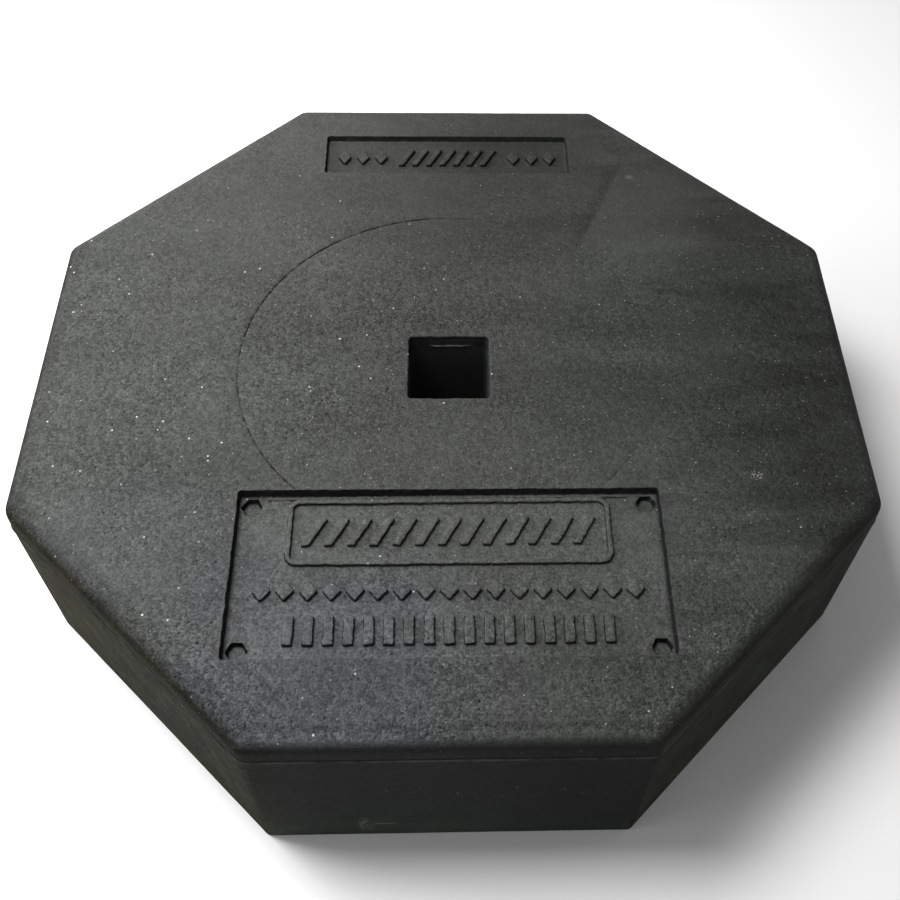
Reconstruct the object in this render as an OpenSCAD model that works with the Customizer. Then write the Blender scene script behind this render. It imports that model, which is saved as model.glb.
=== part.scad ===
// Octagonal moulded rubber base that holds a square sign post upright by its weight.
// Millimetres, Z up. The origin is on the ground at the middle of the plan; the
// side with the large recess faces -Y.

/* [Body] */
// width over the two side faces, measured at the parting line
body_w = 470; // [420:1:600]
// depth over the front and rear faces, measured at the parting line
body_d = 465; // [440:1:600]
// height of the block
body_h = 128; // [90:1:180]
// leg of the 45 degree cut that makes each corner of the plan
corner_cut = 135; // [110:1:150]
// radius of the rounded top edge and of the upright corners
edge_r = 10.5; // [8:0.5:14]
// amount each side leans in between the parting line and the ground
taper = 5; // [0:0.5:6]
// drop from the top face to the parting line of the mould
parting_drop = 20; // [18:1:40]
// height of the thin flash rib left at the parting line
flash_out = 0.4; // [0.2:0.1:0.8]

/* [Post socket] */
// side of the square hole for the post
socket_w = 46.2; // [38:0.1:60]
// position of the hole along Y
socket_y = -3.5; // [-6:0.5:6]
// radius of the softened rim of the hole
socket_rim = 2; // [0.5:0.5:4]

/* [Mould circle] */
// radius of the fine ring that the mould insert leaves on the top face
ring_r = 120.5; // [100:0.5:130]
// width of the ring's groove
ring_w = 0.9; // [0.6:0.1:2]
// depth of the ring's groove
ring_deep = 0.5; // [0.3:0.1:1]

/* [Front recess] */
// width of the large recess
front_w = 224; // [200:1:240]
// length of the large recess along Y
front_l = 99; // [90:1:104]
// middle of the large recess along Y
front_y = -139; // [-142:0.5:-138]
// depth of the large recess
front_deep = 6; // [4:0.5:10]
// how far the pattern stands up from a recess floor
relief = 2.4; // [1:0.2:3.6]

/* [Rear recess] */
// width of the small recess
rear_w = 160.5; // [120:0.5:180]
// length of the small recess along Y
rear_l = 36.5; // [30:0.5:38]
// middle of the small recess along Y
rear_y = 182.25; // [178:0.25:186]
// depth of the small recess
rear_deep = 4.5; // [3.5:0.5:8]

/* [Corner pockets] */
// hexagon across flats of the four pockets in the large recess
pocket_af = 9.5; // [7:0.5:12]
// distance of a pocket's middle from both edges of the recess
pocket_in = 7; // [6.5:0.25:9]
// depth of a pocket below the recess floor
pocket_deep = 3.5; // [1:0.5:6]

/* [Hidden] */
$fn = 40;
eps = 0.01;

// plan of the block with the edge radius taken off all round: the eight
// centres of the upright corners
ix = body_w / 2 - edge_r;
iy = body_d / 2 - edge_r;
jx = body_w / 2 - corner_cut - edge_r * (sqrt(2) - 1);
jy = body_d / 2 - corner_cut - edge_r * (sqrt(2) - 1);
plan = [[ix, -jy], [ix, jy], [jx, iy], [-jx, iy],
        [-ix, jy], [-ix, -jy], [-jx, -iy], [jx, -iy]];
part_z = body_h - parting_drop;
pocket_d = pocket_af / cos(30);

// half of an upright corner post: leaning in below the parting line, upright
// above it and rounded into the top face
module corner_profile() {
    union() {
        polygon([[0, 0], [edge_r - taper, 0], [edge_r, part_z],
                 [edge_r, body_h - edge_r], [0, body_h - edge_r]]);
        intersection() {
            translate([0, body_h - edge_r]) circle(r = edge_r);
            translate([0, body_h - edge_r]) square([edge_r, edge_r]);
        }
    }
}

// half section of the flash rib, let into the wall behind it
module flash_profile() {
    translate([0, part_z])
        polygon([[0, -0.8], [edge_r - 0.4, -0.8], [edge_r + flash_out, 0],
                 [edge_r - 0.4, 0.8], [0, 0.8]]);
}

module block() {
    union() {
        hull() for (p = plan)
            translate([p[0], p[1], 0]) rotate_extrude() corner_profile();
        hull() for (p = plan)
            translate([p[0], p[1], 0]) rotate_extrude() flash_profile();
    }
}

// outline of the post hole seen from the side, flared at the rim
module socket_profile() {
    r = socket_rim;
    h = socket_w / 2;
    union() {
        translate([-h, -1]) square([2 * h, body_h + 2]);
        difference() {
            translate([-h - r, body_h - r]) square([2 * h + 2 * r, r]);
            translate([-h - r, body_h - r]) circle(r = r);
            translate([h + r, body_h - r]) circle(r = r);
        }
        translate([-h - r, body_h - eps]) square([2 * h + 2 * r, 1]);
    }
}

module post_hole() {
    s = socket_w + 2 * socket_rim + 2;
    intersection() {
        translate([0, socket_y + s / 2, 0]) rotate([90, 0, 0])
            linear_extrude(height = s) socket_profile();
        translate([-s / 2, socket_y, 0]) rotate([90, 0, 90])
            linear_extrude(height = s) socket_profile();
    }
}

module ring_groove() {
    rotate_extrude($fn = 192)
        translate([ring_r, body_h])
            polygon([[-ring_w / 2, eps], [-ring_w / 2, 0], [0, -ring_deep],
                     [ring_w / 2, 0], [ring_w / 2, eps]]);
}

module bead(w, l, r, t) {
    difference() {
        rounded(w, l, r);
        rounded(w - 2 * t, l - 2 * t, r - t);
    }
}

module rounded(w, l, r) {
    union() {
        square([w - 2 * r, l], center = true);
        square([w, l - 2 * r], center = true);
        for (x = [-1, 1], y = [-1, 1])
            translate([x * (w / 2 - r), y * (l / 2 - r)]) circle(r = r, $fn = 32);
    }
}

// plain raised pattern on the floor of the large recess: a bead frame with
// slanted bars, a row of lozenge studs and a row of upright ribs
module front_relief() {
    translate([0.4, 25.75]) bead(170.5, 40.8, 6.3, 2.9);
    for (i = [-6:6])
        translate([0.4 + i * 11.8, 25.75])
            polygon([[-7.2, -8.6], [-2.2, -8.6], [7.2, 8.6], [2.2, 8.6]]);
    for (i = [-8:8])
        translate([i * 11.9, -9.5])
            polygon([[-5, 0], [0, -6.2], [5, 0], [0, 6.2]]);
    for (i = [-8:8])
        translate([i * 10, -32.2]) square([5.4, 16.5], center = true);
}

// plain raised pattern on the floor of the small recess: slanted bars between
// two groups of lozenge studs
module rear_relief() {
    for (i = [-3:3])
        translate([i * 9, 0])
            polygon([[-6.2, -8], [-2, -8], [6.2, 8], [2, 8]]);
    for (s = [-1, 1], i = [0:2])
        translate([s * (44 + i * 12), 0])
            polygon([[-4.4, 0], [0, -7.6], [4.4, 0], [0, 7.6]]);
}

module recess(w, l, deep) {
    difference() {
        translate([-w / 2, -l / 2, -deep]) cube([w, l, deep + 1]);
        translate([0, 0, -deep - 1]) linear_extrude(height = relief + 1) children();
    }
}

module pocket() {
    translate([0, 0, body_h - front_deep - pocket_deep])
        cylinder(d = pocket_d, h = pocket_deep + 1, $fn = 6);
}

module rubber_base() {
    color([0.17, 0.175, 0.17])
    difference() {
        block();
        post_hole();
        ring_groove();
        translate([0, front_y, body_h]) recess(front_w, front_l, front_deep) front_relief();
        translate([0, rear_y, body_h]) recess(rear_w, rear_l, rear_deep) rear_relief();
        for (x = [-1, 1], y = [-1, 1])
            translate([x * (front_w / 2 - pocket_in),
                       front_y + y * (front_l / 2 - pocket_in), 0]) pocket();
    }
}

rubber_base();
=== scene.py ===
import math

import bmesh
import bpy
import numpy as np
from mathutils import Matrix, Vector, noise
from mathutils.geometry import delaunay_2d_cdt


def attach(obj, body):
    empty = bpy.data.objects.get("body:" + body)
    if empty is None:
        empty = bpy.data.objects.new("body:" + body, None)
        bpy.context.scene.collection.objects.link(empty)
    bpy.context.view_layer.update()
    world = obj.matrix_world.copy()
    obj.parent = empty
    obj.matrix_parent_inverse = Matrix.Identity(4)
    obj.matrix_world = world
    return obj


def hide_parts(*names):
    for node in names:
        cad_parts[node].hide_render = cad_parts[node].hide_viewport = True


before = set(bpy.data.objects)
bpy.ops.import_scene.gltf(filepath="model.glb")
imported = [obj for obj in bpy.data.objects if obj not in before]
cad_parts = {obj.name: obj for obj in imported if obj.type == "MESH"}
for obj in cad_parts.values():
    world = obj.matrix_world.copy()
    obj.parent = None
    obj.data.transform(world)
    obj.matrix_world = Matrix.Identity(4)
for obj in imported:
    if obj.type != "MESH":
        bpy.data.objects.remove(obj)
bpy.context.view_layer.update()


scene = bpy.context.scene

# ---------------------------------------------------------------------------
# sizes in millimetres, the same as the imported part
W, D, H = 470.0, 465.0, 128.0
CUT = 135.0
EDGE = 10.5
CORNER = 9.5
TAPER = 5.0
PART_Z = 108.0
HOLE, HOLE_Y, RIM = 46.2, -3.5, 1.3
RING_R = 120.5
FRONT_W, FRONT_L, FRONT_X, FRONT_Y, FRONT_DEEP = 223.9, 99.0, 0.6, -139.0, 6.0
REAR_W, REAR_L, REAR_Y, REAR_DEEP = 160.5, 36.5, 182.25, 4.5
RELIEF = 2.4
POCKET_AF, POCKET_IN, POCKET_DEEP = 9.5, 7.0, 3.5


# ---------------------------------------------------------------------------
# outlines: convex, counter-clockwise, with rounded corners
def half_planes(v):
    v = np.asarray(v, float)
    q = np.roll(v, -1, axis=0)
    t = (q - v) / np.linalg.norm(q - v, axis=1)[:, None]
    n = np.stack([t[:, 1], -t[:, 0]], 1)
    return n, (n * v).sum(1)


class Outline:
    """A convex outline with rounded corners that can be grown or shrunk."""

    def __init__(self, v, r, seg, arc=4):
        self.v = np.asarray(v, float)
        self.r = r
        self.n, self.c = half_planes(self.v)
        self.arc = arc
        centre = self.centres(r)
        k = len(self.v)
        self.steps = [max(1, int(round(np.linalg.norm(centre[(i + 1) % k] - centre[i]) / seg)))
                      for i in range(k)]

    def centres(self, inset):
        return np.array([np.linalg.solve(np.array([self.n[i - 1], self.n[i]]),
                                         np.array([self.c[i - 1] - inset, self.c[i] - inset]))
                         for i in range(len(self.v))])

    def loop(self, d):
        r = max(self.r + d, 0.3 * self.r)
        centre = self.centres(r - d)
        k = len(self.v)
        pts = []
        for i in range(k):
            a0 = math.atan2(self.n[i - 1][1], self.n[i - 1][0])
            a1 = math.atan2(self.n[i][1], self.n[i][0])
            while a1 < a0:
                a1 += 2 * math.pi
            for j in range(self.arc + 1):
                a = a0 + (a1 - a0) * j / self.arc
                pts.append(centre[i] + r * np.array([math.cos(a), math.sin(a)]))
            p = centre[i] + r * self.n[i]
            q = centre[(i + 1) % k] + r * self.n[i]
            m = self.steps[i]
            for j in range(1, m):
                pts.append(p + (q - p) * j / m)
        return np.array(pts)


def rect(w, l, x=0.0, y=0.0):
    return [(x - w / 2, y - l / 2), (x + w / 2, y - l / 2),
            (x + w / 2, y + l / 2), (x - w / 2, y + l / 2)]


def shifted(v, x, y):
    return [(p[0] + x, p[1] + y) for p in v]


# ---------------------------------------------------------------------------
# mesh store
ALL_V, ALL_F, ALL_Z = [], [], []
count = 0


def add(verts, faces, zone):
    """zone is what the surface is, for the finish: one number per vertex."""
    global count
    ALL_V.append(np.asarray(verts, float))
    ALL_F.append(np.asarray(faces, np.int64) + count)
    ALL_Z.append(np.full(len(verts), zone, float))
    count += len(verts)


def strip(rows, zone, flip=False):
    """rows: list of (loop, z), each loop with the same number of points."""
    m = len(rows[0][0])
    verts = np.vstack([np.column_stack([p, np.full(m, z)]) for p, z in rows])
    tris = []
    for r in range(len(rows) - 1):
        a = r * m + np.arange(m)
        b = r * m + (np.arange(m) + 1) % m
        c, d = a + m, b + m
        even = (np.arange(m) + r) % 2 == 0
        t1 = np.where(even[:, None], np.stack([a, b, d], 1), np.stack([a, b, c], 1))
        t2 = np.where(even[:, None], np.stack([a, d, c], 1), np.stack([b, d, c], 1))
        tris.append(t1)
        tris.append(t2)
    tris = np.vstack(tris)
    if flip:
        tris = tris[:, ::-1]
    add(verts, tris, zone)


def inside_loop(loop, pts):
    n, c = half_planes(loop)
    out = np.full(len(pts), -1e9)
    for i in range(len(n)):
        out = np.maximum(out, pts @ n[i] - c[i])
    return out


def plate(outer, holes, z, spacing, zone, lines=(), keep_off=None, flip=False, seed=1):
    """A flat region between an outer outline loop and the loops of its holes."""
    rng = np.random.default_rng(seed)
    loops = [outer] + list(holes)
    coords, edges = [], []
    for l in loops:
        s = len(coords)
        coords += [tuple(p) for p in l]
        edges += [(s + i, s + (i + 1) % len(l)) for i in range(len(l))]
    for l in lines:
        s = len(coords)
        coords += [tuple(p) for p in l]
        edges += [(s + i, s + i + 1) for i in range(len(l) - 1)]
    lo, hi = outer.min(0), outer.max(0)
    xs = np.arange(lo[0], hi[0], spacing)
    ys = np.arange(lo[1], hi[1], spacing * 0.866)
    gx, gy = np.meshgrid(xs, ys)
    gx = gx + (np.arange(len(ys)) % 2)[:, None] * spacing / 2
    g = np.column_stack([gx.ravel(), gy.ravel()])
    g += rng.uniform(-0.18, 0.18, g.shape) * spacing
    ok = inside_loop(outer, g) < -0.55 * spacing
    for h in holes:
        near = (np.abs(g - h.mean(0)) < (h.max(0) - h.min(0)) / 2 + spacing).all(1)
        idx = np.where(near & ok)[0]
        if len(idx):
            ok[idx[inside_loop(h, g[idx]) < 0.55 * spacing]] = False
    if keep_off is not None:
        ok &= keep_off(g)
    g = g[ok]
    coords += [tuple(p) for p in g]
    res = delaunay_2d_cdt([Vector(p) for p in coords], edges, [], 0, 1e-6)
    v = np.array([coords[o[0]] if len(o) else tuple(p) for p, o in zip(res[0], res[3])])
    f = np.array([list(t) for t in res[2] if len(t) == 3], np.int64)
    c = v[f].mean(1)
    e1, e2 = v[f[:, 1]] - v[f[:, 0]], v[f[:, 2]] - v[f[:, 0]]
    good = np.abs(e1[:, 0] * e2[:, 1] - e1[:, 1] * e2[:, 0]) > 3e-4
    good &= inside_loop(outer, c) < 1e-6
    for h in holes:
        near = (np.abs(c - h.mean(0)) < (h.max(0) - h.min(0)) / 2).all(1)
        idx = np.where(near & good)[0]
        if len(idx):
            good[idx[inside_loop(h, c[idx]) < 1e-6]] = False
    f = f[good]
    if flip:
        f = f[:, ::-1]
    used = np.unique(f)
    remap = np.full(len(v), -1)
    remap[used] = np.arange(len(used))
    add(np.column_stack([v[used], np.full(len(used), z)]), remap[f], zone)


# ---------------------------------------------------------------------------
# zones: 0 top face, 1 side wall, 2 recess floor, 3 raised pattern, 4 hole,
# 5 ground face, 6 recess wall
hx, hy = W / 2, D / 2
kx, ky = hx - CUT, hy - CUT
body = Outline([(hx, -ky), (hx, ky), (kx, hy), (-kx, hy),
                (-hx, ky), (-hx, -ky), (-kx, -hy), (kx, -hy)], CORNER, 3.0, arc=5)


def lean(z):
    return -TAPER * (1 - z / PART_Z)


# wall, the flash left at the parting line with the nick above it, top rounding
rows = [(lean(0) - 0.9, 0.0), (lean(0) - 0.42, 0.12), (lean(0) - 0.1, 0.45), (lean(1.1), 1.1)]
rows += [(lean(z), z) for z in (4, 9, 16, 24, 33, 43, 53, 63, 73, 83, 92, 99, 103, 105.2)]
rows += [(0.05, 105.9), (0.29, 106.4), (0.37, 106.75), (0.33, 106.95), (-0.36, 107.1),
         (-0.46, 107.4), (-0.42, 108.1), (-0.30, 109.0), (-0.15, 110.2), (-0.05, 111.8), (0.0, 114.4)]
for i in range(13):
    a = math.radians(90 * i / 12)
    rows.append((-EDGE + EDGE * math.cos(a), H - EDGE + EDGE * math.sin(a)))
shell = [(body.loop(d), z) for d, z in rows]
strip(shell, 1)

hole = Outline(rect(HOLE, HOLE, 0.4, HOLE_Y), 2.2, 1.3, arc=4)
rows = []
for i in range(5):
    a = math.radians(90 * i / 4)
    rows.append((RIM - RIM * math.sin(a), H - RIM + RIM * math.cos(a)))
rows += [(0, H - 3.0), (0, H - 7.4), (-0.02, H - 8.0), (-0.42, H - 8.35), (-0.46, H - 8.6),
         (-0.05, H - 8.9), (0, H - 9.6)]
rows += [(0, z) for z in (114, 108, 100, 90, 78, 64, 50, 36, 24, 14, 6, 2.2)]
rows += [(0.05, 1.2), (0.2, 0.5), (0.5, 0.12), (0.9, 0.0)]
bore = [(hole.loop(d), z) for d, z in rows]
strip(bore, 4, flip=True)

front = Outline(rect(FRONT_W, FRONT_L, FRONT_X, FRONT_Y), 1.7, 1.15, arc=3)
rear = Outline(rect(REAR_W, REAR_L, 0, REAR_Y), 1.7, 1.15, arc=3)


def recess_rows(deep, draft=0.6, rim=0.55, foot=0.7):
    f = H - deep
    out = [(rim - rim * math.sin(a), H - rim + rim * math.cos(a))
           for a in [math.radians(90 * i / 3) for i in range(4)]]
    out += [(-draft * 0.45, H - deep * 0.5)]
    out += [(-draft - foot * (1 - math.cos(a)), f + foot * (1 - math.sin(a)))
            for a in [math.radians(90 * i / 3) for i in range(4)]]
    return out


front_rows = [(front.loop(d), z) for d, z in recess_rows(FRONT_DEEP)]
rear_rows = [(rear.loop(d), z) for d, z in recess_rows(REAR_DEEP)]
strip(front_rows, 6, flip=True)
strip(rear_rows, 6, flip=True)

# fine ring in the top face, broken by the large recess
cut_y = FRONT_Y + FRONT_L / 2 + 0.75
ring_lines = []
for dr in (-0.8, -0.42, 0.0, 0.42, 0.8):
    r = RING_R + dr
    a0 = math.asin(cut_y / r) + 0.002
    a1 = math.pi - a0
    m = int(r * (a1 - a0) / 1.15)
    t = np.linspace(a0, a1, m + 1)
    ring_lines.append(np.column_stack([r * np.cos(t), r * np.sin(t)]))


def off_ring(g):
    r = np.hypot(g[:, 0], g[:, 1])
    return np.abs(r - RING_R) > 2.0


plate(shell[-1][0], [bore[0][0], front_rows[0][0], rear_rows[0][0]], H, 2.9, 0,
      lines=ring_lines, keep_off=off_ring, seed=3)
plate(shell[0][0], [bore[-1][0]], 0.0, 9.0, 5, flip=True, seed=4)

# raised pattern on the recess floors
FOOT = [(0.5, 0.0), (0.2, 0.1), (0.05, 0.4), (-0.06, 1.3), (-0.16, 1.95),
        (-0.38, 2.27), (-0.72, 2.4)]


def raised(v, r, floor, seg=1.15, arc=2, seed=1):
    """Raises one solid shape; gives back the loop that it leaves in the floor."""
    o = Outline(v, r, seg, arc)
    rows = [(o.loop(d), floor + z) for d, z in FOOT]
    strip(rows, 3)
    plate(rows[-1][0], [], rows[-1][1], seg * 1.2, 3, seed=seed)
    return rows[0][0]


def pocket(x, y, floor):
    s = POCKET_AF / math.cos(math.radians(30)) / 2
    v = [(x + s * math.cos(math.radians(60 * i)), y + s * math.sin(math.radians(60 * i)))
         for i in range(6)]
    o = Outline(v, 0.9, 1.0, 3)
    rows = [(0.22, floor), (0.1, floor - 0.12), (0.0, floor - 0.5),
            (-0.2, floor - POCKET_DEEP * 0.6), (-0.4, floor - POCKET_DEEP + 0.6),
            (-0.6, floor - POCKET_DEEP + 0.15), (-0.95, floor - POCKET_DEEP)]
    rows = [(o.loop(d), z) for d, z in rows]
    strip(rows, 6, flip=True)
    plate(rows[-1][0], [], rows[-1][1], 1.2, 2)
    return rows[0][0]


fz = H - FRONT_DEEP
outer_holes = []
for x in (-1, 1):
    for y in (-1, 1):
        outer_holes.append(pocket(FRONT_X + x * (FRONT_W / 2 - POCKET_IN),
                                  FRONT_Y + y * (FRONT_L / 2 - POCKET_IN), fz))
bx, by = 0.4, FRONT_Y + 25.75
bead_out = Outline(rect(170.5, 40.8, bx, by), 6.3, 1.3, arc=8)
bead_in = Outline(rect(164.7, 35.0, bx, by), 3.6, 1.3, arc=8)
out_rows = [(bead_out.loop(d), fz + z) for d, z in FOOT]
in_rows = [(bead_in.loop(-d), fz + z) for d, z in FOOT]
strip(out_rows, 3)
strip(in_rows, 3, flip=True)
plate(out_rows[-1][0], [in_rows[-1][0]], fz + RELIEF, 1.3, 3)
outer_holes.append(out_rows[0][0])
inner_holes = []
for i in range(-6, 7):
    v = shifted([(-7.2, -8.6), (-2.2, -8.6), (7.2, 8.6), (2.2, 8.6)], bx + i * 11.8, by)
    inner_holes.append(raised(v, 0.95, fz, seed=20 + i))
for i in range(-8, 9):
    v = shifted([(-5, 0), (0, -6.2), (5, 0), (0, 6.2)], i * 11.9, FRONT_Y - 9.5)
    outer_holes.append(raised(v, 0.95, fz, seed=40 + i))
for i in range(-8, 9):
    outer_holes.append(raised(rect(5.4, 16.5, i * 10.0, FRONT_Y - 32.2), 0.95, fz, seed=60 + i))
# low ledge left along the foot of the far wall by the edge of the mould insert
far = FRONT_Y + FRONT_L / 2
ledge_lines = [np.column_stack([np.linspace(-97, 97, 150), np.full(150, far - o)]) for o in (2.3, 2.6)]


def off_ledge(g):
    return (np.abs(far - 2.45 - g[:, 1]) > 0.7) | (np.abs(g[:, 0]) > 98)


plate(front_rows[-1][0], outer_holes, fz, 1.7, 2, lines=ledge_lines, keep_off=off_ledge, seed=5)
plate(in_rows[0][0], inner_holes, fz, 1.7, 2, seed=6)

rz = H - REAR_DEEP
rear_holes = []
for i in range(-3, 4):
    v = shifted([(-6.2, -8), (-2, -8), (6.2, 8), (2, 8)], i * 9.0, REAR_Y)
    rear_holes.append(raised(v, 0.95, rz, seed=80 + i))
for s in (-1, 1):
    for i in range(3):
        v = shifted([(-4.4, 0), (0, -7.6), (4.4, 0), (0, 7.6)], s * (44 + i * 12), REAR_Y)
        rear_holes.append(raised(v, 0.95, rz, seed=90 + i))
plate(rear_rows[-1][0], rear_holes, rz, 1.7, 2, seed=7)

# ---------------------------------------------------------------------------
# one welded mesh
verts = np.vstack(ALL_V)
faces = np.vstack(ALL_F)
zones = np.concatenate(ALL_Z)
key = np.round(verts / 2e-4).astype(np.int64)
_, first, inverse = np.unique(key, axis=0, return_index=True, return_inverse=True)
inverse = inverse.ravel()
verts = verts[first]
zones_of_faces = zones[faces[:, 0]]
faces = inverse[faces]
bad = (faces[:, 0] == faces[:, 1]) | (faces[:, 1] == faces[:, 2]) | (faces[:, 0] == faces[:, 2])
faces, zones_of_faces = faces[~bad], zones_of_faces[~bad]

mesh = bpy.data.meshes.new("rubber_block")
mesh.from_pydata((verts * 0.001).tolist(), [], faces.tolist())
bm = bmesh.new()
bm.from_mesh(mesh)
bmesh.ops.recalc_face_normals(bm, faces=bm.faces)
if bm.calc_volume(signed=True) < 0:
    bmesh.ops.reverse_faces(bm, faces=bm.faces)
open_edges = [e for e in bm.edges if len(e.link_faces) != 2]
print("rubber_block:", len(bm.verts), "points,", len(bm.faces), "faces,", len(open_edges), "open edges")
bm.to_mesh(mesh)
bm.free()
mesh.update()

nv = len(mesh.vertices)
co = np.empty(nv * 3)
mesh.vertices.foreach_get("co", co)
co = co.reshape(-1, 3) * 1000.0
nor = np.empty(nv * 3)
mesh.vertices.foreach_get("normal", nor)
nor = nor.reshape(-1, 3)
share = np.zeros((nv, 7))
for z in range(7):
    f = faces[zones_of_faces == z]
    np.add.at(share[:, z], f.ravel(), 1.0)
share /= np.maximum(share.sum(1), 1)[:, None]


def smooth(x, a, b):
    t = np.clip((x - a) / (b - a), 0, 1)
    return t * t * (3 - 2 * t)


def perlin(p, scale, octaves=1, shift=(0, 0, 0)):
    out = np.empty(len(p))
    s = Vector(shift)
    for i, q in enumerate(p):
        v = Vector(q) / scale + s
        t, a = 0.0, 1.0
        for _ in range(octaves):
            t += a * noise.noise(v)
            v = v * 2.03
            a *= 0.5
        out[i] = t
    return out


# ledge along the far side of the large recess
on_floor = (np.abs(co[:, 2] - fz) < 0.02) & (share[:, 2] > 0.2)
u = far - co[:, 1]
ledge = on_floor * smooth(98 - np.abs(co[:, 0]), 0, 3) * (1 - smooth(u, 2.26, 2.64)) * (u < 6)
ledge_foot = on_floor * (np.abs(u - 2.6) < 0.12) * (np.abs(co[:, 0]) < 97)
co[:, 2] += ledge * 0.6

# edges of the recesses, the pattern and the hole crumble a little
box_f = np.maximum(np.abs(co[:, 0] - FRONT_X) - FRONT_W / 2, np.abs(co[:, 1] - FRONT_Y) - FRONT_L / 2)
box_r = np.maximum(np.abs(co[:, 0]) - REAR_W / 2, np.abs(co[:, 1] - REAR_Y) - REAR_L / 2)
box_h = np.abs(np.maximum(np.abs(co[:, 0]), np.abs(co[:, 1] - HOLE_Y)) - HOLE / 2)
rough_edge = np.maximum(0.36 * (1 - smooth(box_f, 0.6, 3.0)), 0.28 * (1 - smooth(box_r, 0.6, 3.0)))
rough_edge = np.maximum(rough_edge, 0.30 * (1 - smooth(box_h, 0.8, 3.5)))
rough_edge *= smooth(co[:, 2], 108, 118)
idx = np.where(rough_edge > 1e-3)[0]
move = np.zeros((len(idx), 3))
for j, i in enumerate(idx):
    v = Vector(co[i])
    a = noise.noise_vector(v / 1.9)
    b = noise.noise_vector(v / 5.3 + Vector((9, 4, 2)))
    move[j] = (a[0] + 0.8 * b[0], a[1] + 0.8 * b[1], 0.45 * a[2])
on_top_face = share[idx, 0] > 0
move[on_top_face, 2] = -np.abs(move[on_top_face, 2]) * 0.6
co[idx] += move * rough_edge[idx][:, None]

# the floor of the large recess comes up a little towards its far right
low = np.clip((H - co[:, 2]) / FRONT_DEEP, 0, 1) * (box_f < 1.0) * (co[:, 2] > 100)
co[:, 2] += 0.9 * low * smooth(co[:, 0], -70, 95) * smooth(co[:, 1] - FRONT_Y, -30, 48)

# the nick inside the hole shows only in the middle of its far side
nick_z = (share[:, 4] > 0.5) * np.exp(-((co[:, 2] - (H - 8.45)) / 0.35) ** 2)
flat_part = 0.42 * nick_z * (1 - np.exp(-((co[:, 0] - 0.4) / 10.5) ** 6) * (co[:, 1] > HOLE_Y))
on_x = np.abs(co[:, 0] - 0.4) > np.abs(co[:, 1] - HOLE_Y)
co[:, 0] += np.where(on_x, np.sign(co[:, 0] - 0.4) * flat_part, 0)
co[:, 1] += np.where(on_x, 0, np.sign(co[:, 1] - HOLE_Y) * flat_part)

# soft unevenness of the moulding, always inwards so that the size is kept
lump = perlin(co, 46.0, 2) * 0.5 + 0.5
fine = perlin(co, 8.0, 2, (7, 3, 1)) * 0.5 + 0.5
side = share[:, 1] * (1 - smooth(co[:, 2], 117, 126))
amount = (0.30 - 0.16 * side) * np.clip(lump, 0, 1) + (0.16 - 0.10 * side) * np.clip(fine, 0, 1)
calm = share[:, 5] + 0.6 * share[:, 4] + 0.5 * share[:, 2] + 0.7 * share[:, 3] + 0.5 * share[:, 6]
amount *= 1 - np.clip(calm, 0, 1)
amount *= 1 - 0.85 * np.exp(-((co[:, 2] - 107.2) / 2.0) ** 2) * share[:, 1]
amount[co[:, 2] < 0.4] = 0
co -= nor * amount[:, None]

# the flash comes and goes along the parting line
flash = perlin(co * np.array([1, 1, 0]), 13.0, 3, (3, 8, 0))
near = share[:, 1] * np.exp(-((co[:, 2] - 106.75) / 0.42) ** 2)
co -= nor * np.array([1, 1, 0]) * (near * np.clip(0.12 - 0.45 * flash, 0, 0.32))[:, None]

# the ring's groove, clear at the rear left and almost gone at the right
r = np.hypot(co[:, 0], co[:, 1])
ang = np.degrees(np.arctan2(co[:, 1], co[:, 0]))
STRONG_A = [-180, -140, -90, -50, -42, -20, 0, 30, 60, 84, 96, 112, 150, 166, 180]
STRONG_V = [0.45, 0.60, 0.60, 0.45, 0.35, 0.10, 0.05, 0.05, 0.12, 0.30, 0.75, 1.0, 1.0, 0.7, 0.45]
strong = np.interp(ang, STRONG_A, STRONG_V)
patchy = np.clip(0.85 + 0.7 * perlin(co, 7.0, 2, (1, 1, 5)) + 1.5 * perlin(co, 2.4, 1, (5, 2, 2)), 0.42, 1.4)
on_top = share[:, 0] > 0.9
# the groove's strength sets its depth and also how dark it is painted, as painted shade
ring = on_top * strong * patchy * np.exp(-((r - RING_R) / 0.46) ** 2)
co[:, 2] -= 0.6 * ring
# painted shade: dark lines along the foot of the ledge in the large recess and just above the parting line on the
# walls
ring = np.maximum(ring, 0.8 * ledge_foot * np.clip(0.9 + 1.2 * perlin(co, 9.0, 2, (4, 4, 4)), 0.3, 1))
ring = np.maximum(ring, 0.62 * share[:, 1] * np.exp(-((co[:, 2] - 107.7) / 0.42) ** 4))

# painted shade: a dark band on the large recess's right wall, at the hole's rim on its left and far sides, and in the
# pockets
side_wall = share[:, 6] * (co[:, 0] - FRONT_X > FRONT_W / 2 - 3.0) * (co[:, 1] < 0) * smooth(H - co[:, 2], 0.5, 1.6)
rim_h = smooth(H - co[:, 2], 0.15, 1.2) * share[:, 4] * (co[:, 2] > H - 2.0) * ((co[:, 0] < -HOLE / 2 + 2.5) | (co[:, 1] > HOLE_Y + HOLE / 2 - 2.5))
ring = np.maximum(ring, 0.36 * rim_h)
in_pocket = (co[:, 2] < fz - 0.3) * (co[:, 2] > 100) * (co[:, 1] < 0)
ring = np.maximum(ring, 0.44 * side_wall)
ring = np.maximum(ring, share[:, 6] * in_pocket * np.clip(np.where(co[:, 1] > FRONT_Y, 0.14, 0.38)
                                                             + 0.8 * perlin(co, 3.0, 2, (8, 8, 1)), 0.0, 0.7))

co[:, 2] = np.clip(co[:, 2], 0.0, H)
mesh.vertices.foreach_set("co", (co * 0.001).ravel())
mesh.update()
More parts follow.
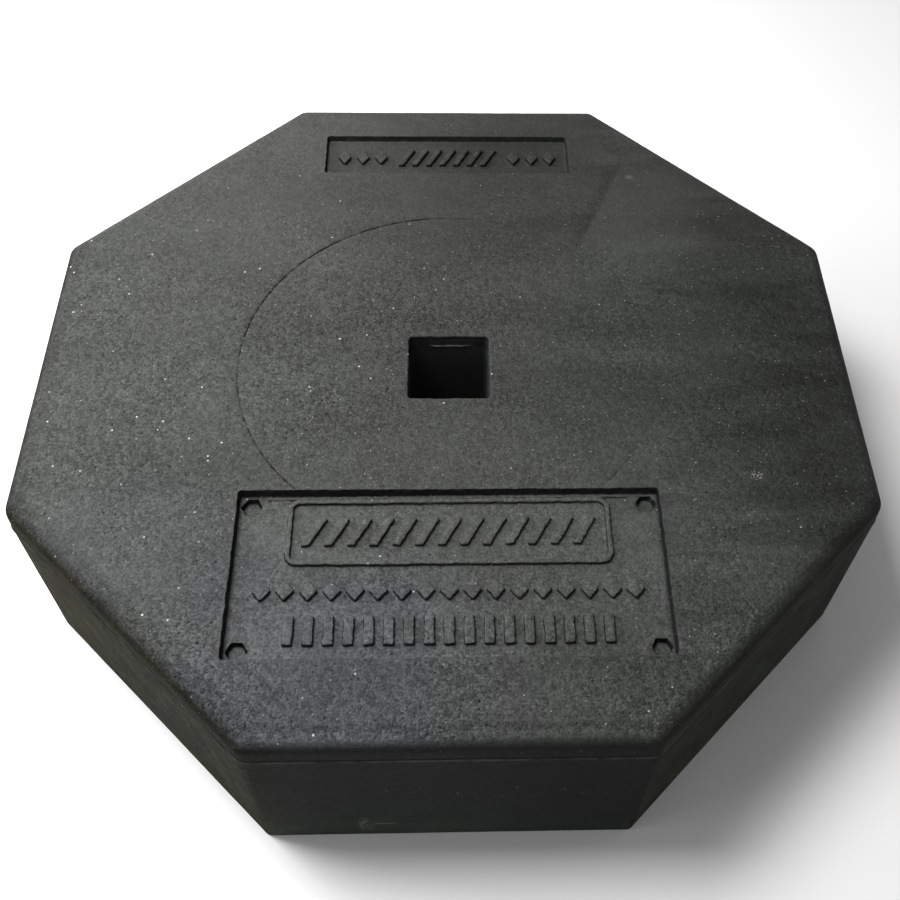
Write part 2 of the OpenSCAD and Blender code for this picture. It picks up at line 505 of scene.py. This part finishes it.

# finish attributes: coarseness of the crumb, painted shade in the ring groove and creases, and painted highlights and
# wear on edges
grain = (1.0 * share[:, 0] + 0.42 * share[:, 1] + 0.86 * share[:, 2] + 0.86 * share[:, 3]
         + 0.25 * share[:, 4] + 0.4 * share[:, 5] + 0.5 * share[:, 6])
grain += smooth(co[:, 2], 118, 127) * share[:, 1] * 0.6
# painted highlight: a light line on the flash along the parting line, strongest on the front and right-front walls,
# where it catches the light
line = share[:, 1] * np.exp(-((co[:, 2] - 107.0) / 0.16) ** 4)
frontal = smooth(-nor[:, 1] / np.maximum(np.hypot(nor[:, 0], nor[:, 1]), 1e-6), 0.85, 0.98)
rightward = smooth(nor[:, 0] / np.maximum(np.hypot(nor[:, 0], nor[:, 1]), 1e-6), 0.5, 0.68) * (co[:, 1] < 0)
highlight_and_wear = line * (np.clip(0.25 + 0.5 * flash, 0.08, 0.44) * (0.04 + 0.96 * frontal)
               + np.clip(0.20 + 0.2 * flash, 0.10, 0.30) * rightward
               + 0.035 * (1 - frontal) * (1 - rightward) * (co[:, 1] < 0))
ring *= 1 - 0.5 * rightward * share[:, 1] * smooth(co[:, 2], 106.5, 107.0) * (1 - smooth(co[:, 2], 108.3, 108.8))
# painted highlight on the nick in the middle of the hole's far side, painted shade along the rest of it
mid_line = np.exp(-((co[:, 0] - 0.4) / 10.5) ** 6) * (co[:, 1] > HOLE_Y)
nick = share[:, 4] * np.exp(-((co[:, 2] - (H - 8.4)) / 0.25) ** 2)
highlight_and_wear += nick * 0.9 * mid_line
ring = np.maximum(ring, 0.5 * nick * (1 - mid_line))
# the rims of the raised pattern: a light edge that is partly wear and partly painted highlight
height = co[:, 2] - np.where(co[:, 1] > 0, rz, fz)
rim = share[:, 3] * smooth(height, 1.5, 2.0) * (1 - smooth(height, 2.3, 2.5))
highlight_and_wear += rim * np.clip(0.01 + 0.14 * perlin(co, 2.4, 2, (2, 6, 2)), 0, 0.09)
# how much paler or darker than the open faces: the front recess floor paler, the rear recess floor darker, the ground
# face paler, and the inside of the hole paler, most of all deep down; the same factor also carries the painted light
# and shade on the edges and walls below
floors = share[:, 2] + share[:, 3]
deep = (1 - smooth(co[:, 2], H - 12.0, H - 9.2)) * smooth(co[:, 2], 0, 6)
tone_with_painted_light = 1 + floors * np.where(co[:, 1] > 0, -0.17, 0.30)
tone_with_painted_light *= 1 + 0.9 * share[:, 5]
tone_with_painted_light *= 1 + share[:, 4] * (1.8 * deep + 1.35 * (1 - deep) * smooth(H - co[:, 2], 1.5, 3.0))
# the rounded edge: painted light towards the front and the right, painted shade towards the left
lying = np.hypot(nor[:, 0], nor[:, 1])
heading = nor[:, :2] / np.maximum(lying, 1e-3)[:, None]
some = lying > 0.03
to_front = smooth(-heading[:, 1], 0.86, 0.97) * some
to_left = smooth(-heading[:, 0], 0.50, 0.68) * some
to_right = smooth(heading[:, 0], 0.50, 0.68) * some
painted_edge_light = to_front * (0.42 * smooth(lying, 0.36, 0.52) * (1 - smooth(lying, 0.72, 0.84))
                     - 0.16 * smooth(lying, 0.03, 0.14) * (1 - smooth(lying, 0.26, 0.40)))
painted_edge_light += to_front * smooth(-co[:, 0], 5, 30) * 0.34 * smooth(lying, 0.55, 0.70) * (1 - smooth(lying, 0.90, 0.97))
painted_edge_light -= to_left * (0.02 * smooth(lying, 0.0, 0.14)
                     + 0.15 * smooth(lying, 0.34, 0.62) * (1 - 0.6 * smooth(lying, 0.68, 0.80)))
painted_edge_light -= smooth(-heading[:, 0], 0.86, 0.97) * some * 0.07 * smooth(lying, 0.05, 0.25)
painted_edge_light += to_right * 0.24 * smooth(lying, 0.03, 0.2) * (1 - smooth(lying, 0.38, 0.55))
outer = share[:, 0] + share[:, 1] > 0.99
tone_with_painted_light *= 1 + painted_edge_light * smooth(co[:, 2], 113.5, 116.5) * outer
# painted shade on the top face within about 13 mm of the left and left-front edges
inset = body.c[None, :] - co[:, :2] @ body.n.T
facing = body.n @ np.array([-1.0, 0.0])
for k in range(8):
    painted_edge_shade = 0.25 * smooth(facing[k], 0.5, 0.6) * (1 - 0.15 * smooth(facing[k], 0.8, 0.9)) * (body.n[k][1] < 0.1)
    tone_with_painted_light *= 1 - painted_edge_shade * (1 - smooth(inset[:, k], 9.0, 13.5)) * outer * smooth(co[:, 2], 113.5, 116.5)
# walls: a little paler where they face left and at the middle of the front; painted light lifts the right and front
# walls low down, where the floor shades them, and painted shade dims the flash ledge where it catches the light on the
# walls facing left
wall_f = share[:, 1] * (1 - smooth(co[:, 2], 113, 118))
tone_with_painted_light *= 1 + 0.045 * wall_f * smooth(-heading[:, 0], 0.5, 0.68)
tone_with_painted_light *= 1 - 0.38 * smooth(-heading[:, 0], 0.5, 0.68) * share[:, 1] * np.exp(-((co[:, 2] - 107.1) / 0.5) ** 4)
tone_with_painted_light *= 1 + wall_f * smooth(-heading[:, 1], 0.86, 0.97) * np.interp(co[:, 0], [-70, -10, 75], [0.15, 0.24, -0.04])
# painted light: the right and front walls lifted low down, where the floor shades them
tone_with_painted_light *= 1 + wall_f * smooth(heading[:, 0], 0.5, 0.68) * np.interp(co[:, 2], [0, 8, 25, 50, 75, 100],
                                                                    [2.3, 2.1, 1.35, 0.76, 0.48, 0.32])
tone_with_painted_light *= 1 + wall_f * smooth(-heading[:, 1], 0.86, 0.97) * np.interp(co[:, 2], [0, 8, 25, 50, 75],
                                                                     [1.8, 1.45, 0.50, 0.14, 0.0])
for name, value in (("grain", grain), ("ring", ring), ("highlight_and_wear", highlight_and_wear), ("tone_and_painted_light", tone_with_painted_light),
                    ("flank", share[:, 1])):
    a = mesh.attributes.new(name, "FLOAT", "POINT")
    a.data.foreach_set("value", value)
for p in mesh.polygons:
    p.use_smooth = True

block = bpy.data.objects.new("rubber_block", mesh)
scene.collection.objects.link(block)
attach(block, "root")
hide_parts("rubber_base")


# ---------------------------------------------------------------------------
# materials
class Nodes:
    def __init__(self, name):
        self.mat = bpy.data.materials.new(name)
        self.mat.use_nodes = True
        self.t = self.mat.node_tree
        self.t.nodes.clear()
        self.out = self.t.nodes.new("ShaderNodeOutputMaterial")
        self.bsdf = self.t.nodes.new("ShaderNodeBsdfPrincipled")
        self.t.links.new(self.bsdf.outputs[0], self.out.inputs[0])

    def new(self, kind, **props):
        n = self.t.nodes.new("ShaderNode" + kind)
        for k, v in props.items():
            setattr(n, k, v)
        return n

    def link(self, a, b):
        self.t.links.new(a, b)

    def put(self, socket, value):
        if isinstance(value, (int, float, tuple, list)):
            socket.default_value = value
        else:
            self.link(value, socket)

    def math(self, op, a, b=0.0, c=0.0, clamp=False):
        n = self.new("Math", operation=op, use_clamp=clamp)
        self.put(n.inputs[0], a)
        self.put(n.inputs[1], b)
        if op in ("MULTIPLY_ADD", "SMOOTH_MIN", "SMOOTH_MAX"):
            self.put(n.inputs[2], c)
        return n.outputs[0]

    def vary(self, x, amount, weight=None):
        """1 + amount * (x - 0.5), with the amount weighted."""
        d = self.math("SUBTRACT", x, 0.5)
        if weight is not None:
            d = self.math("MULTIPLY", d, weight)
        return self.math("MULTIPLY_ADD", d, amount, 1.0)

    def product(self, *values):
        out = values[0]
        for v in values[1:]:
            out = self.math("MULTIPLY", out, v)
        return out

    def ramp(self, x, a, b, lo=0.0, hi=1.0, smooth=True):
        n = self.new("MapRange")
        n.interpolation_type = "SMOOTHSTEP" if smooth else "LINEAR"
        self.put(n.inputs[0], x)
        for i, v in enumerate((a, b, lo, hi)):
            n.inputs[i + 1].default_value = v
        return n.outputs[0]

    def patch(self, x, y, x0, y0, rx, ry):
        """1 at the middle of a soft oval, 0 outside it."""
        u = self.math("MULTIPLY", self.math("SUBTRACT", x, x0), 1 / rx)
        v = self.math("MULTIPLY", self.math("SUBTRACT", y, y0), 1 / ry)
        r = self.math("MULTIPLY_ADD", u, u, self.math("MULTIPLY", v, v))
        return self.ramp(r, 0.0, 1.6, 1.0, 0.0)

    def place(self, vec, scale=(1, 1, 1), shift=(0, 0, 0), turn=0.0):
        n = self.new("Mapping", vector_type="POINT")
        self.link(vec, n.inputs[0])
        n.inputs["Location"].default_value = shift
        n.inputs["Rotation"].default_value = (0, 0, turn)
        n.inputs["Scale"].default_value = scale
        return n.outputs[0]

    def noise(self, vec, scale, detail=2.0, rough=0.5, distort=0.0):
        n = self.new("TexNoise")
        self.link(vec, n.inputs["Vector"])
        n.inputs["Scale"].default_value = scale
        n.inputs["Detail"].default_value = detail
        n.inputs["Roughness"].default_value = rough
        n.inputs["Distortion"].default_value = distort
        return n.outputs["Fac"]

    def voronoi(self, vec, scale, feature="F1", rand=1.0):
        n = self.new("TexVoronoi", feature=feature)
        self.link(vec, n.inputs["Vector"])
        n.inputs["Scale"].default_value = scale
        n.inputs["Randomness"].default_value = rand
        return n

    def channels(self, colour):
        n = self.new("SeparateColor")
        self.link(colour, n.inputs[0])
        return n.outputs

    def mix(self, fac, a, b, kind="MIX"):
        n = self.new("Mix", data_type="RGBA", blend_type=kind)
        self.put(n.inputs[0], fac)
        self.put(n.inputs[6], a)
        self.put(n.inputs[7], b)
        return n.outputs[2]

    def scaled(self, colour, factor):
        n = self.new("VectorMath", operation="SCALE")
        self.link(colour, n.inputs[0])
        self.link(factor, n.inputs["Scale"])
        return n.outputs[0]

    def attribute(self, name):
        return self.new("Attribute", attribute_name=name, attribute_type="GEOMETRY").outputs["Fac"]


def rubber():
    m = Nodes("crumb_rubber_finish")
    tc = m.new("TexCoord")
    obj = tc.outputs["Object"]
    sep = m.new("SeparateXYZ")
    m.link(tc.outputs["Normal"], sep.inputs[0])
    # how far a face turns up, for the colour: the ramp over the rounded edges, shifted for faces turned sideways and
    # to the left, is partly painted shade
    lateral = m.math("MAXIMUM", m.math("SUBTRACT", m.math("ABSOLUTE", sep.outputs[0]), 0.42), 0.0)
    tilt = m.math("MULTIPLY_ADD", lateral, -0.42, m.math("MULTIPLY_ADD", sep.outputs[0], 0.10, sep.outputs[2]))
    leftish = m.ramp(sep.outputs[0], -0.04, -0.30)
    up = m.math("ADD", m.math("MULTIPLY", m.ramp(tilt, 0.10, 0.86), m.math("SUBTRACT", 1.0, leftish)),
                m.math("MULTIPLY", m.ramp(tilt, 0.10, 0.93), leftish))
    pos = m.new("SeparateXYZ")
    m.link(obj, pos.inputs[0])
    px, py, pz = pos.outputs
    grain = m.attribute("grain")

    # how coarse the skin is from place to place: rougher to the front and left
    patches = m.noise(m.place(obj, shift=(3.1, 0.4, 0)), 17.0, 2.0, 0.6)
    coarse = m.math("ADD", m.ramp(patches, 0.32, 0.68, 0.66, 1.08),
                    m.ramp(py, -0.10, -0.215, 0.0, 0.29))
    coarse = m.math("ADD", coarse, m.math("MULTIPLY", m.patch(px, py, -0.050, 0.0, 0.090, 0.080), 0.16))
    turned = m.ramp(m.math("ABSOLUTE", sep.outputs[0]), 0.15, 0.55)
    coarse = m.product(coarse, m.ramp(py, 0.04, 0.17, 1.0, 0.50),
                       m.ramp(px, -0.05, 0.10, 1.0, 0.86), grain, m.ramp(sep.outputs[2], 0.55, 0.97, 0.7, 1.0),
                       m.math("MULTIPLY_ADD", m.product(turned, m.ramp(px, 0.0, -0.05), m.math("SUBTRACT", 1.0, up)), 1.9, 1.0))

    # crumbs, finer grit that also bends their outlines, and slow lumps
    fine = m.new("TexNoise")
    m.link(obj, fine.inputs["Vector"])
    fine.inputs["Scale"].default_value = 760.0
    fine.inputs["Detail"].default_value = 1.5
    fine.inputs["Roughness"].default_value = 0.7
    grit = fine.outputs["Fac"]
    bent = m.new("VectorMath", operation="MULTIPLY_ADD")
    m.link(fine.outputs["Color"], bent.inputs[0])
    bent.inputs[1].default_value = (0.0016, 0.0016, 0.0016)
    m.link(obj, bent.inputs[2])
    bent = bent.outputs[0]
    crumb = m.voronoi(bent, 500.0, "F1")
    cell = m.channels(crumb.outputs["Color"])
    lumps = m.noise(obj, 290.0, 2.0, 0.6)
    height = m.math("MULTIPLY_ADD", cell[0], 0.36, m.math("MULTIPLY", lumps, 0.62))
    height = m.math("MULTIPLY_ADD", crumb.outputs["Distance"], -0.30, height)
    height = m.math("MULTIPLY_ADD", grit, 0.72, height)
    # pits where crumbs have pulled out
    pit = m.voronoi(bent, 330.0, "F1")
    pit_c = m.channels(pit.outputs["Color"])
    pits = m.product(m.ramp(pit.outputs["Distance"], 0.09, 0.28, 1.0, 0.0),
                     m.ramp(pit_c[0], 0.50, 0.95, smooth=False))
    height = m.math("MULTIPLY_ADD", pits, -0.85, height)

    # colour: dusty grey on what faces up, near black on the walls; the change over the rounded edges is partly painted
    # shade
    broad = m.noise(m.place(obj, scale=(0.6, 1.5, 1.0), turn=-0.2), 11.0, 2.5, 0.55, 0.3)
    tint = m.noise(m.place(obj, shift=(0.3, 0.7, 0.1)), 9.0, 1.5, 0.5)
    mid = m.noise(obj, 62.0, 2.5, 0.6)
    olive = m.math("MAXIMUM", m.product(turned, m.ramp(sep.outputs[1], -0.20, -0.55, 0.45, 1.0),
                          m.ramp(sep.outputs[0], 0.0, 0.3, 1.0, 0.36)),
                   m.math("MULTIPLY", m.ramp(px, -0.075, -0.110, 0.0, 0.8), m.ramp(sep.outputs[1], 0.3, -0.3)))
    olive = m.math("MULTIPLY", m.attribute("flank"), m.math("MAXIMUM", olive, m.ramp(sep.outputs[1], 0.3, 0.8, 0.0, 0.35)))
    wall = m.mix(m.math("MULTIPLY", olive, m.ramp(tint, 0.30, 0.62, 0.7, 1.0)),
                 (0.0128, 0.0144, 0.0130, 1), (0.0134, 0.0138, 0.0069, 1))
    stain = m.noise(m.place(obj, shift=(0.9, 0.1, 0.4)), 34.0, 3.0, 0.62)
    wall = m.mix(m.math("MULTIPLY", olive, m.ramp(stain, 0.42, 0.66, 0.0, 0.6)), wall, (0.0156, 0.0157, 0.0069, 1))
    far_left = m.product(m.ramp(px, -0.150, -0.222), m.ramp(py, 0.02, -0.04), m.attribute("flank"), m.ramp(stain, 0.30, 0.60, 0.45, 1.0))
    wall = m.mix(far_left, wall, (0.0149, 0.0149, 0.0050, 1))
    drift = m.math("MULTIPLY", m.math("SUBTRACT", tint, 0.5), 0.25)
    top = m.mix(m.ramp(m.math("ADD", drift, py), -0.10, 0.16),
                (0.0434, 0.0453, 0.0431, 1), (0.0441, 0.0454, 0.0414, 1))
    top = m.mix(m.math("MULTIPLY", m.ramp(m.math("ADD", drift, px), 0.02, 0.15), m.ramp(py, 0.13, 0.06)), top,
                (0.0426, 0.0459, 0.0421, 1))
    cold = m.product(m.ramp(m.math("ADD", drift, py), -0.125, -0.200), m.ramp(px, 0.07, -0.07))
    cold = m.math("MAXIMUM", cold, m.math("MULTIPLY", m.patch(px, py, -0.159, -0.120, 0.050, 0.040), 0.50))
    cold = m.math("MAXIMUM", cold, m.math("MULTIPLY", m.patch(px, py, -0.107, -0.150, 0.040, 0.040), 0.65))
    top = m.mix(cold, top, (0.0428, 0.0441, 0.0466, 1))
    base = m.mix(up, wall, top)
    # painted light: the top is painted paler towards the left and the front and darker towards the rear right, as the
    # light falls across it; the soft ovals after it are painted light and dust patches
    painted_light_and_dust = m.math("ADD", m.ramp(px, -0.21, 0.19, 0.40, -0.30, smooth=False),
                  m.math("ADD", m.math("MULTIPLY", m.ramp(px, -0.10, 0.06, 0.0, -0.13),
                                       m.ramp(py, -0.10, 0.10)),
                         m.ramp(py, -0.15, -0.21, 0.0, 0.14)))
    painted_light_and_dust = m.math("MULTIPLY", painted_light_and_dust, up)
    painted_light_and_dust = m.math("MULTIPLY_ADD", m.patch(px, py, 0.215, -0.030, 0.085, 0.095), -0.14, painted_light_and_dust)
    painted_light_and_dust = m.math("MULTIPLY_ADD", m.patch(px, py, 0.005, 0.140, 0.085, 0.070), -0.13, painted_light_and_dust)
    painted_light_and_dust = m.math("MULTIPLY_ADD", m.patch(px, py, 0.085, -0.212, 0.075, 0.035), -0.13, painted_light_and_dust)
    painted_light_and_dust = m.math("MULTIPLY_ADD", m.patch(px, py, -0.124, -0.175, 0.060, 0.040), 0.08, painted_light_and_dust)
    painted_light_and_dust = m.math("MULTIPLY_ADD", m.patch(px, py, 0.115, 0.150, 0.080, 0.060), 0.10, painted_light_and_dust)
    painted_light_and_dust = m.math("MULTIPLY_ADD", m.patch(px, py, 0.165, 0.040, 0.075, 0.130), 0.105, painted_light_and_dust)
    painted_light_and_dust = m.math("MULTIPLY_ADD", m.patch(px, py, 0.207, -0.040, 0.025, 0.060), -0.09, painted_light_and_dust)
    painted_light_and_dust = m.math("MULTIPLY_ADD", m.patch(px, py, 0.162, -0.123, 0.045, 0.045), 0.12, painted_light_and_dust)
    painted_light_and_dust = m.math("MULTIPLY_ADD", m.patch(px, py, 0.000, -0.062, 0.070, 0.035), 0.07, painted_light_and_dust)
    painted_light_and_dust = m.math("MULTIPLY_ADD", m.patch(px, py, 0.020, -0.206, 0.060, 0.030), 0.06, painted_light_and_dust)
    edge = m.math("ADD", m.math("MULTIPLY", m.math("SUBTRACT", px, 0.0907), 0.919),
                  m.math("MULTIPLY", m.math("SUBTRACT", py, 0.1150), -0.394))
    film = m.product(m.ramp(edge, -0.0015, 0.0030), m.ramp(px, 0.180, 0.120),
                     m.ramp(m.math("ADD", py, m.math("MULTIPLY", m.math("SUBTRACT", mid, 0.5), 0.03)),
                            0.082, 0.104), m.ramp(py, 0.186, 0.145), up)
    brink = m.product(m.ramp(edge, -0.0095, -0.0040), m.ramp(edge, 0.0015, -0.0015), m.ramp(py, 0.085, 0.105),
                      m.ramp(py, 0.186, 0.165), up)
    runs = m.noise(m.place(obj, scale=(1.0, 1.0, 0.30)), 150.0, 3.0, 0.62)
    smear = m.noise(m.place(obj, scale=(0.50, 1.7, 1.0), turn=0.22), 21.0, 3.0, 0.62, 0.6)
    smear = m.product(m.ramp(smear, 0.46, 0.66), m.ramp(px, 0.02, 0.12), up, m.math("MULTIPLY_ADD", film, -0.8, 1.0))
    tone = m.product(m.attribute("tone_and_painted_light"), m.vary(mid, 0.30), m.vary(mid, 1.3, m.math("MULTIPLY", turned, m.math("SUBTRACT", 1.0, up))),
                     m.vary(runs, 1.5, m.product(turned, m.ramp(px, 0.0, -0.05), m.math("SUBTRACT", 1.0, up))),
                     m.vary(mid, 0.8, m.product(turned, m.ramp(px, 0.0, -0.05), m.math("SUBTRACT", 1.0, up))),
                     m.vary(m.ramp(broad, 0.25, 0.75), 0.24, up),
                     m.vary(m.ramp(broad, 0.30, 0.70), 0.20, m.math("MULTIPLY", up, m.ramp(px, 0.02, 0.12))),
                     m.math("ADD", painted_light_and_dust, 1.0), m.math("MULTIPLY_ADD", smear, -0.24, 1.0),
                     m.math("MULTIPLY_ADD", brink, -0.15, 1.0),
                     m.vary(cell[1], 0.60, coarse), m.vary(grit, 2.0, coarse),
                     m.math("MULTIPLY_ADD", m.math("MULTIPLY", pits, coarse), -0.48, 1.0))
    base = m.scaled(base, tone)

    # paler dried film with one straight side, towards the rear right, and a blob on it
    bx = m.math("MULTIPLY", m.math("SUBTRACT", px, 0.1203), 1 / 0.0034)
    by = m.math("MULTIPLY", m.math("SUBTRACT", py, 0.1600), 1 / 0.0020)
    blob = m.ramp(m.math("ADD", m.math("MULTIPLY", bx, bx), m.math("MULTIPLY", by, by)), 0.3, 1.3, 1.0, 0.0)
    base = m.mix(m.math("MULTIPLY", film, 0.32), base, (0.052, 0.054, 0.046, 1))
    base = m.mix(m.product(blob, m.ramp(lumps, 0.35, 0.6), up), base, (0.066, 0.068, 0.062, 1))

    # painted shade darkens the ring groove, the creases, the pockets and the line above the parting line; painted
    # highlight lightens the parting line, the nick in the hole and, with wear, the pattern's rims
    base = m.mix(m.ramp(m.attribute("ring"), 0.02, 0.60, 0.0, 0.94, smooth=False), base,
                 (0.005, 0.005, 0.005, 1))
    base = m.mix(m.ramp(m.attribute("highlight_and_wear"), 0.0, 1.0, 0.0, 1.0, smooth=False), base,
                 (0.22, 0.22, 0.21, 1))

    # scuff low on the front wall: a blotch and a short line beside it
    on_front = m.ramp(sep.outputs[1], -0.80, -0.95)
    marks = m.noise(m.place(obj, scale=(1.0, 1.0, 0.6)), 520.0, 2.0, 0.75)
    blotch = m.product(m.math("MAXIMUM", m.patch(px, pz, -0.0453, 0.0165, 0.0031, 0.0105), m.math("MULTIPLY", m.patch(px, pz, -0.0415, 0.0115, 0.0024, 0.0062), 0.55)),
                       on_front, m.ramp(marks, 0.44, 0.60, 0.10, 1.0))
    faint = m.product(m.patch(px, pz, -0.0345, 0.0200, 0.0090, 0.0100), on_front, 0.05)
    stroke = m.product(m.ramp(m.math("ABSOLUTE", m.math("SUBTRACT", pz, 0.0175)), 0.0004, 0.0011, 1.0, 0.0),
                       m.ramp(px, -0.0405, -0.0395), m.ramp(px, -0.0270, -0.0285), on_front, m.ramp(mid, 0.30, 0.60, 0.6, 1.0))
    base = m.mix(m.math("MINIMUM", m.math("ADD", m.math("ADD", m.math("MULTIPLY", blotch, 0.95), faint), stroke), 0.9), base,
                 (0.095, 0.100, 0.095, 1))

    # pale specks, a few of them bright, and one small bruise at the right
    out_up = m.math("MULTIPLY", m.ramp(sep.outputs[2], 0.0, 0.9, 0.40, 1.0), m.ramp(py, 0.10, 0.19, 1.0, 0.3))
    s1 = m.voronoi(obj, 400.0, "F1")
    c1 = m.channels(s1.outputs["Color"])
    k1 = m.product(m.ramp(s1.outputs["Distance"], 0.10, 0.22, 1.0, 0.0),
                   m.ramp(c1[1], 0.80, 1.0, 0.0, 0.8, smooth=False), out_up)
    s2 = m.voronoi(m.place(obj, shift=(0.7, 0.2, 0.5)), 330.0, "F1")
    c2 = m.channels(s2.outputs["Color"])
    size = m.math("MULTIPLY_ADD", c2[0], 1.1, 0.65)
    keep = m.math("ADD", c2[1], m.math("MULTIPLY", m.math("SUBTRACT", c2[2], 0.5), m.ramp(px, -0.05, 0.10, 0.0, 0.03)))
    k2 = m.product(m.ramp(m.math("MULTIPLY", s2.outputs["Distance"], size), 0.085, 0.20, 1.0, 0.0),
                   m.ramp(m.math("SUBTRACT", keep, m.ramp(px, -0.10, 0.10, -0.022, 0.024)),
                          0.930, 1.000, 0.0, 0.9, smooth=False), out_up)
    base = m.mix(k1, base, (0.22, 0.22, 0.21, 1))
    base = m.mix(k2, base, (0.56, 0.56, 0.54, 1))
    bruise = m.product(m.patch(px, py, 0.1672, -0.0816, 0.0040, 0.0032), m.ramp(grit, 0.50, 0.62), up)
    base = m.mix(bruise, base, (0.16, 0.16, 0.155, 1))

    b = m.bsdf
    m.link(base, b.inputs["Base Color"])
    rough = m.math("MULTIPLY_ADD", m.math("SUBTRACT", lumps, 0.5), 0.22,
                   m.math("MULTIPLY_ADD", up, -0.18, 0.86))
    rough = m.math("MULTIPLY_ADD", m.math("SUBTRACT", broad, 0.5), 0.12, rough)
    m.link(rough, b.inputs["Roughness"])
    b.inputs["Metallic"].default_value = 0.0
    b.inputs["IOR"].default_value = 1.5
    b.inputs["Specular IOR Level"].default_value = 0.07
    bump = m.new("Bump")
    bump.inputs["Distance"].default_value = 0.001
    m.link(m.math("MULTIPLY", coarse, 0.85, clamp=True), bump.inputs["Strength"])
    m.link(height, bump.inputs["Height"])
    m.link(bump.outputs[0], b.inputs["Normal"])
    return m.mat


mesh.materials.append(rubber())

# ---------------------------------------------------------------------------
# floor, light, camera
fm = bpy.data.meshes.new("floor")
fm.from_pydata([(-6, -6, 0), (6, -6, 0), (6, 6, 0), (-6, 6, 0)], [], [(0, 1, 2, 3)])
floor = bpy.data.objects.new("floor", fm)
scene.collection.objects.link(floor)
pm = Nodes("pale_floor")
pm.bsdf.inputs["Base Color"].default_value = (0.82, 0.82, 0.82, 1)
pm.bsdf.inputs["Roughness"].default_value = 0.9
pm.bsdf.inputs["Specular IOR Level"].default_value = 0.1
fm.materials.append(pm.mat)

world = bpy.data.worlds.new("studio")
scene.world = world
world.use_nodes = True
bg = world.node_tree.nodes["Background"]
bg.inputs[0].default_value = (1.0, 1.0, 1.0, 1)
bg.inputs[1].default_value = 0.30


def softbox(name, at, look, size, watts, colour=(1, 1, 1)):
    l = bpy.data.lights.new(name, "AREA")
    l.shape = "RECTANGLE"
    l.size, l.size_y = size
    l.energy = watts
    l.color = colour
    o = bpy.data.objects.new(name, l)
    o.location = at
    o.rotation_euler = (Vector(look) - Vector(at)).to_track_quat("-Z", "Y").to_euler()
    scene.collection.objects.link(o)
    return o


softbox("key", (-0.45, 0.05, 1.25), (0, 0, 0.1), (0.5, 0.5), 19.5)
softbox("low", (-1.0, 0.35, 0.50), (0, 0, 0.1), (0.7, 0.5), 11)
softbox("rear", (-0.5, 1.3, 1.2), (0, 0, 0.1), (1.2, 0.9), 3)
softbox("left", (-1.3, -0.4, 0.75), (0, 0, 0.1), (0.8, 0.8), 3)

cam = bpy.data.cameras.new("camera")
cam_o = bpy.data.objects.new("camera", cam)
scene.collection.objects.link(cam_o)
F_PX, CX, CY = 1288.6, 495.97, 395.96
PITCH, ROLL, YAW = 0.68327, 0.04257, -0.05961
cam.sensor_fit = "HORIZONTAL"
cam.sensor_width = 36.0
cam.lens = F_PX * 36.0 / 900.0
cam.shift_x = (450.0 - CX) / 900.0
cam.shift_y = (CY - 450.0) / 900.0
cam.clip_start = 0.01
cam.clip_end = 50
cam_o.matrix_world = (Matrix.Translation(Vector((-0.00049, -0.48513, 0.69343)))
                      @ Matrix.Rotation(YAW, 4, "Z") @ Matrix.Rotation(PITCH, 4, "X")
                      @ Matrix.Rotation(ROLL, 4, "Z"))
scene.camera = cam_o

scene.view_settings.view_transform = "Standard"
scene.view_settings.look = "None"
scene.view_settings.exposure = 0.0
scene.view_settings.gamma = 1.0

bpy.context.view_layer.update()
